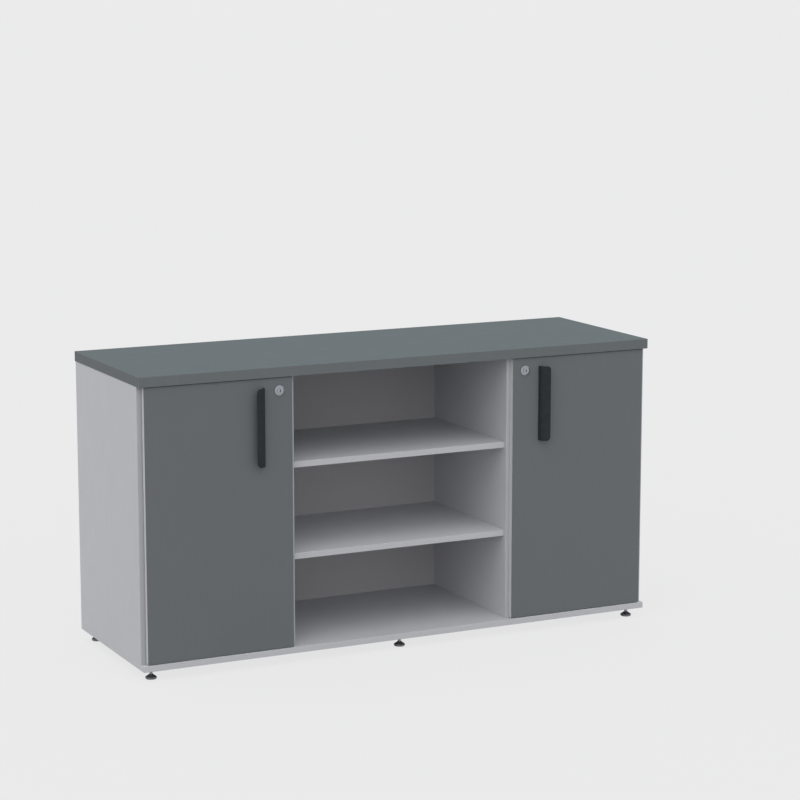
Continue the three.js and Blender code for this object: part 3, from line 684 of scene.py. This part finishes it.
# Locks
def make_lock(side):
    """Lock: a turned housing with its rosette, a hexagon nut behind the door, and a turned core whose head
    holds the key slot and whose tail is a square. The cam rides on the core's body."""
    door, lock = f"{side}_door", f"{side}_lock"
    centre = middle(f"{side}_lock_housing")
    front, rear = box(f"{side}_lock_housing")[0][1], box(f"{side}_lock_housing")[1][1]
    door_front, door_back = box(door)[0][1], box(door)[1][1]
    axis_foot = (centre[0], 0, centre[2])
    bore = CORE_RADIUS + CORE_GAP
    rosette_front = door_front - ROSETTE_THICKNESS
    rosette = [
        (bore, rear), (bore, front + BORE_CHAMFER), (bore + BORE_CHAMFER, front),
        (COLLAR_RADIUS - COLLAR_ARRIS, front),
        (COLLAR_RADIUS - COLLAR_ARRIS_MIDDLE, front + COLLAR_ARRIS_MIDDLE),
        (COLLAR_RADIUS, front + COLLAR_ARRIS),
        (ROSETTE_RADIUS - ROSETTE_ARRIS, rosette_front),
        (ROSETTE_RADIUS - ROSETTE_ARRIS_MIDDLE, rosette_front + ROSETTE_ARRIS_MIDDLE),
        (ROSETTE_RADIUS, rosette_front + ROSETTE_ARRIS), (ROSETTE_RADIUS, door_front),
        (BARREL_RADIUS, door_front), (BARREL_RADIUS, rear),
    ]
    housing = turned(rosette, "y", axis_foot, sides=64, ring=True)
    piece(f"{side}_lock_rosette", door, satin, [housing], [f"{side}_lock_housing"])
    nut_edge, nut_bore = hexagon_radius(NUT_HALF_WIDTH), BARREL_RADIUS + NUT_GAP
    nut_back = door_back + NUT_THICKNESS
    nut = [(nut_bore, door_back), (nut_edge, door_back), (nut_edge, nut_back - NUT_CHAMFER_HEIGHT),
           (NUT_HALF_WIDTH - NUT_CHAMFER, nut_back), (nut_bore, nut_back)]
    hexagon = turned(nut, "y", axis_foot, sides=48, ring=True)
    piece(f"{side}_lock_nut", door, nickel, [hexagon])
    head_front, tail = box(f"{side}_lock_core")[0][1], box(f"{side}_lock_core")[1][1]
    head_back = head_front + CORE_HEAD_HEIGHT
    shaft_end = tail - SPIGOT_LENGTH + CORE_GAP
    square = rectangle_radius(SPIGOT_HALF, SPIGOT_HALF)
    slot = rectangle_radius(*KEY_SLOT)
    slot_floor = head_front + KEY_SLOT_DEPTH
    rim = [(r, 2 * head_front - h) for r, h in round_rim(CORE_HEAD_RADIUS, head_front, CORE_HEAD_ARRIS)]
    core = [(0, tail), (square, tail), (square, shaft_end), (CORE_RADIUS, shaft_end),
            (CORE_RADIUS, head_back), (CORE_HEAD_RADIUS, head_back), *rim,
            (CORE_HEAD_RING * CORE_HEAD_RADIUS, head_front),
            (slot, head_front), (slot, slot_floor), (0, slot_floor)]
    key_core = turned(core, "y", axis_foot, sides=72)
    piece(f"{side}_lock_key_core", lock, satin, [key_core], [f"{side}_lock_core"])
    softened(f"{side}_lock_cam", lock, nickel, LOCK_PLATE_ROUND)
    softened(f"{side}_lock_strike", "carcass", nickel, LOCK_PLATE_ROUND)


# Hinges
def make_hinges(side):
    """Two cup hinges: the cup, its screws and the pin ride on the door, the arm and its screws on the
    carcass. The pin is turned, with a small chamfer at both ends."""
    sign, door = SIDES[side], f"{side}_door"
    inner = CUPBOARDS[side][0 if sign < 0 else 1]
    for row in ("lower", "upper"):
        hinge = f"{side}_{row}_hinge"
        cup_low, cup_high = box(f"{hinge}_cup")
        z = (cup_low[2] + cup_high[2]) / 2
        softened(f"{hinge}_cup", door, nickel, CUP_ROUND)
        softened(f"{hinge}_arm", "carcass", nickel, ARM_ROUND)
        low, high = box(f"{hinge}_pin")
        radius, half = (high[0] - low[0]) / 2, (high[2] - low[2]) / 2
        pin = [(0, -half), ((1 - PIN_CHAMFER) * radius, -half), (radius, PIN_CHAMFER * radius - half)]
        pin += [(r, -h) for r, h in reversed(pin)]
        rod = turned(pin, "z", (low + high) / 2, sides=16)
        piece(f"{hinge}_pin_rod", door, nickel, [rod], [f"{hinge}_pin"])
        flange_x = inner - sign * (CUP_OFFSET + FLANGE_MIDDLE)
        ends = z + np.array([-0.5, 0.5]) * FLANGE_SCREW_SPACING
        seats = [(flange_x, cup_high[1], end) for end in ends]
        cup_screws = [screw_head("y", seat, 1, height=FLANGE_SCREW_HEIGHT) for seat in seats]
        piece(f"{hinge}_cup_screws", door, nickel, cup_screws)
        plate_x, arm_x = inner - sign * PLATE_THICKNESS, inner - sign * ARM_HEIGHT
        plate_y = carcass_front + PLATE_MIDDLE
        ends = z + np.array([-0.5, 0.5]) * PLATE_SCREW_SPACING
        plate_screws = [screw_head("x", (plate_x, plate_y, end), -sign) for end in ends]
        seats = [(arm_x, carcass_front + y, z) for y in ARM_SCREWS]
        arm_screws = [screw_head("x", seat, -sign, ARM_SCREW_RADIUS, ARM_SCREW_HEIGHT) for seat in seats]
        piece(f"{hinge}_arm_screws", "carcass", nickel, plate_screws + arm_screws)


# Shelf supports, connector caps and strike screws
def make_fittings(side):
    """Fittings inside a cupboard: its shelf supports, eight connector caps and the strike's two screws."""
    sign = SIDES[side]
    for wall in ("outer", "inner"):
        for row in ("front", "back"):
            softened(f"{side}_shelf_support_{wall}_{row}", "carcass", nickel, SUPPORT_ROUND)
    low, high = box(f"{side}_side_panel")
    depths = (low[1] + CAP_DEPTH_INSET, high[1] - CAP_DEPTH_INSET)
    heights = (bay_floor + CAP_INSET, bay_ceiling - CAP_INSET)
    left_wall, right_wall = CUPBOARDS[side]
    caps = [cap_disc("x", (wall, y, z), sense)
            for wall, sense in ((left_wall, 1), (right_wall, -1)) for y in depths for z in heights]
    piece(f"{side}_cupboard_caps", "carcass", cap_plastic, caps)
    strike_low, strike_high = box(f"{side}_lock_strike")
    strike_x = CUPBOARDS[side][1 if sign < 0 else 0] + sign * STRIKE_WALL
    strike_z = (strike_low[2] + strike_high[2]) / 2
    strike_y = (carcass_front + strike_high[1]) / 2 + STRIKE_SCREW_SETBACK
    seats = [(strike_x, strike_y, strike_z + rise) for rise in STRIKE_SCREW_RISES]
    screws = [screw_head("x", seat, sign, STRIKE_SCREW_RADIUS, STRIKE_SCREW_HEIGHT) for seat in seats]
    piece(f"{side}_strike_screws", "carcass", nickel, screws)


def make_back_caps():
    """Connector caps on the undersides of the open shelves and on the rear faces of the back panels."""
    shelf_xs = (NICHE[0] + CAP_INSET, NICHE[1] - CAP_INSET)
    under = []
    for node in ("lower_open_shelf", "upper_open_shelf"):
        low, high = box(node)
        ys = (low[1] + CAP_DEPTH_INSET, high[1] - CAP_DEPTH_INSET)
        under += [cap_disc("z", (x, y, low[2]), -1) for x in shelf_xs for y in ys]
    piece("open_shelf_caps", "carcass", cap_plastic, under)
    rear = []
    for name, span in (("left", CUPBOARDS["left"]), ("centre", NICHE), ("right", CUPBOARDS["right"])):
        low, high = box(f"{name}_back_panel")
        xs = (span[0] + CAP_INSET, span[1] - CAP_INSET)
        zs = (low[2] + CAP_DEPTH_INSET * 2, high[2] - CAP_DEPTH_INSET * 2)
        rear += [cap_disc("y", (x, high[1], z), 1) for x in xs for z in zs]
    piece("back_panel_caps", "carcass", cap_plastic, rear)


# Feet
def make_foot(foot):
    """Levelling foot: a turned glide disc, a turned cone with a socket, the threaded stem, and the flange
    of the insert that the stem screws into. Tenths of a millimetre in the profiles are round arrises."""
    low, high = box(f"{foot}_foot_base")
    stem_low, stem_high = box(f"{foot}_foot_stem")
    centre = ((low[0] + high[0]) / 2, (low[1] + high[1]) / 2, 0)
    radius = (high[0] - low[0]) / 2
    stem_radius = (stem_high[0] - stem_low[0]) / 2
    seat = FOOT_NECK_HEIGHT - STEM_SEAT
    socket = stem_radius + STEM_PLAY
    rim, rim_radius = FOOT_RIM + FOOT_SEAM, radius - FOOT_CONE_SETBACK
    glide = [(0, 0), (radius - FOOT_CHAMFER, 0), (radius - 0.3, FOOT_CHAMFER - 0.4),
             (radius, FOOT_CHAMFER + 0.3), (radius, FOOT_RIM - 0.8), (radius - 0.25, FOOT_RIM - 0.2),
             (rim_radius, rim), (0, rim)]
    cone = [(0, rim), (rim_radius, rim), (FOOT_NECK_RADIUS + 0.6, FOOT_NECK_HEIGHT - 1.5),
            (FOOT_NECK_RADIUS, FOOT_NECK_HEIGHT - 0.8), (FOOT_NECK_RADIUS - 0.2, FOOT_NECK_HEIGHT),
            (socket, FOOT_NECK_HEIGHT), (socket, seat), (0, seat)]
    body = f"{foot}_foot"
    disc = turned(glide, "z", centre, sides=48)
    piece(f"{body}_glide", body, glide_plastic, [disc])
    shell = turned(cone, "z", centre, sides=48)
    piece(f"{body}_cone", body, foot_plastic, [shell], [f"{body}_base"])
    screw = thread(centre, stem_radius, seat, stem_high[2])
    piece(f"{body}_screw", body, nickel, [screw], [f"{body}_stem"])
    panel = box("bottom_panel")[0][2]
    under = panel - INSERT_THICKNESS
    insert = [(INSERT_HOLE, panel), (INSERT_RADIUS, panel), (INSERT_RADIUS, under + INSERT_CHAMFER),
              (INSERT_RADIUS - INSERT_CHAMFER, under), (INSERT_HOLE, under)]
    flange = turned(insert, "z", centre, ring=True)
    piece(f"{body}_insert", "carcass", nickel, [flange])


def thread(centre, radius, low, high):
    """Threaded stem: the radius dips in a triangle wave of the height less the angle's share of the
    pitch, and the thread runs out towards both ends."""
    rows = int((high - low) / THREAD_PITCH * 6)
    height = np.linspace(low, high, rows)[:, None]
    angle = np.linspace(0, 2 * np.pi, 24, endpoint=False)
    phase = (height / THREAD_PITCH - angle / (2 * np.pi)) % 1
    wave = np.abs(2 * phase - 1)
    ends = np.clip(np.minimum(height - low, high - height) / THREAD_PITCH, 0, 1)
    r = radius - THREAD_DEPTH * (1 - wave * ends)
    points = placed(r * np.cos(angle), r * np.sin(angle), height + 0 * angle, "z", centre)
    return Sheet(points, False, True)


make_carcass()
make_top()
for side in SIDES:
    make_door(side)
    make_handle(side)
    make_lock(side)
    make_hinges(side)
    make_fittings(side)
make_back_caps()
for row in ("front", "back"):
    for column in ("left", "middle", "right"):
        make_foot(f"{row}_{column}")

# Stage
BACKDROP = linear(235, 235, 236)
SKY_LOW, SKY_HIGH = 0.6, 1.0
KEY_DIRECTION = (-0.51, -0.52, 0.69)
KEY_STRENGTH, KEY_WIDTH = 1.1, 4.0
FLOOR_BOUNCE = 0.45
FLOOR_SHADOW_SHARE = 0.1
FLOOR_LIT = 0.72
FLOOR_RADIUS = 80.0


def seen_rays(nodes, links):
    """Share of a ray that shows the backdrop: one for camera, glossy and transmission rays."""
    path = nodes.new("ShaderNodeLightPath")
    total = path.outputs["Is Camera Ray"]
    for name in ("Is Glossy Ray", "Is Transmission Ray"):
        either = nodes.new("ShaderNodeMath")
        either.operation = "MAXIMUM"
        links.new(total, either.inputs[0])
        links.new(path.outputs[name], either.inputs[1])
        total = either.outputs[0]
    return total


def make_world():
    """Soft dome, brighter overhead, with a wide soft key at the upper left. The camera sees the
    backdrop."""
    world = bpy.data.worlds.new("studio")
    bpy.context.scene.world = world
    world.use_nodes = True
    nodes, links = world.node_tree.nodes, world.node_tree.links
    dome = nodes["Background"]
    direction = nodes.new("ShaderNodeTexCoord").outputs["Generated"]

    def linked(kind, operation, inputs, output=0):
        node = nodes.new(kind)
        node.operation = operation
        for socket, value in zip(node.inputs, inputs):
            if isinstance(value, bpy.types.NodeSocket):
                links.new(value, socket)
            else:
                socket.default_value = value
        return node.outputs[output]

    towards = linked("ShaderNodeVectorMath", "DOT_PRODUCT", (direction, KEY_DIRECTION), "Value")
    facing = linked("ShaderNodeMath", "MAXIMUM", (towards, 0.0))
    lobe = linked("ShaderNodeMath", "POWER", (facing, KEY_WIDTH))
    height = linked("ShaderNodeVectorMath", "DOT_PRODUCT", (direction, (0, 0, 1)), "Value")
    sky = linked("ShaderNodeMath", "MULTIPLY_ADD", (height, SKY_HIGH - SKY_LOW, SKY_LOW))
    links.new(linked("ShaderNodeMath", "MULTIPLY_ADD", (lobe, KEY_STRENGTH, sky)), dome.inputs["Strength"])
    dome.inputs["Color"].default_value = (1, 1, 1, 1)
    backdrop = nodes.new("ShaderNodeBackground")
    backdrop.inputs["Color"].default_value = BACKDROP
    mix = nodes.new("ShaderNodeMixShader")
    links.new(seen_rays(nodes, links), mix.inputs["Fac"])
    links.new(dome.outputs[0], mix.inputs[1])
    links.new(backdrop.outputs[0], mix.inputs[2])
    links.new(mix.outputs[0], nodes["World Output"].inputs["Surface"])


def make_floor():
    """Round floor: to the camera it is the backdrop's tone with part of the object's shadow, and to other
    rays a mid-grey floor that gives a little light back."""
    disc = turned([(0, 0), (FLOOR_RADIUS / MM, 0)], "z", (0, 0, 0), sides=96)
    mesh = bpy.data.meshes.new("floor")
    mesh.from_pydata(disc.points.reshape(-1, 3) * MM, [], faces_of(disc, 0))
    floor = bpy.data.objects.new("floor", mesh)
    bpy.context.scene.collection.objects.link(floor)
    material = bpy.data.materials.new("pale_floor")
    material.use_nodes = True
    nodes, links = material.node_tree.nodes, material.node_tree.links
    nodes.remove(nodes["Principled BSDF"])
    glow = nodes.new("ShaderNodeEmission")
    glow.inputs["Color"].default_value = BACKDROP
    lit, bounce = nodes.new("ShaderNodeBsdfDiffuse"), nodes.new("ShaderNodeBsdfDiffuse")
    lit.inputs["Color"].default_value = (FLOOR_LIT, FLOOR_LIT, FLOOR_LIT, 1)
    bounce.inputs["Color"].default_value = (FLOOR_BOUNCE, FLOOR_BOUNCE, FLOOR_BOUNCE, 1)
    shown, whole = nodes.new("ShaderNodeMixShader"), nodes.new("ShaderNodeMixShader")
    shown.inputs["Fac"].default_value = FLOOR_SHADOW_SHARE
    links.new(glow.outputs[0], shown.inputs[1])
    links.new(lit.outputs[0], shown.inputs[2])
    links.new(seen_rays(nodes, links), whole.inputs["Fac"])
    links.new(bounce.outputs[0], whole.inputs[1])
    links.new(shown.outputs[0], whole.inputs[2])
    links.new(whole.outputs[0], nodes["Material Output"].inputs["Surface"])
    mesh.materials.append(material)


def make_camera():
    """Camera at the photograph's viewing angle."""
    camera = bpy.data.objects.new("camera", bpy.data.cameras.new("camera"))
    bpy.context.scene.collection.objects.link(camera)
    camera.location = CAMERA_PLACE
    camera.rotation_euler = (math.pi / 2 - CAMERA_DROP, 0, CAMERA_TURN)
    camera.data.sensor_width = CAMERA_SENSOR
    camera.data.lens = CAMERA_LENS
    camera.data.clip_end = VIEW_LIMIT
    bpy.context.scene.camera = camera


make_world()
make_floor()
make_camera()
bpy.context.scene.view_settings.view_transform = "Standard"
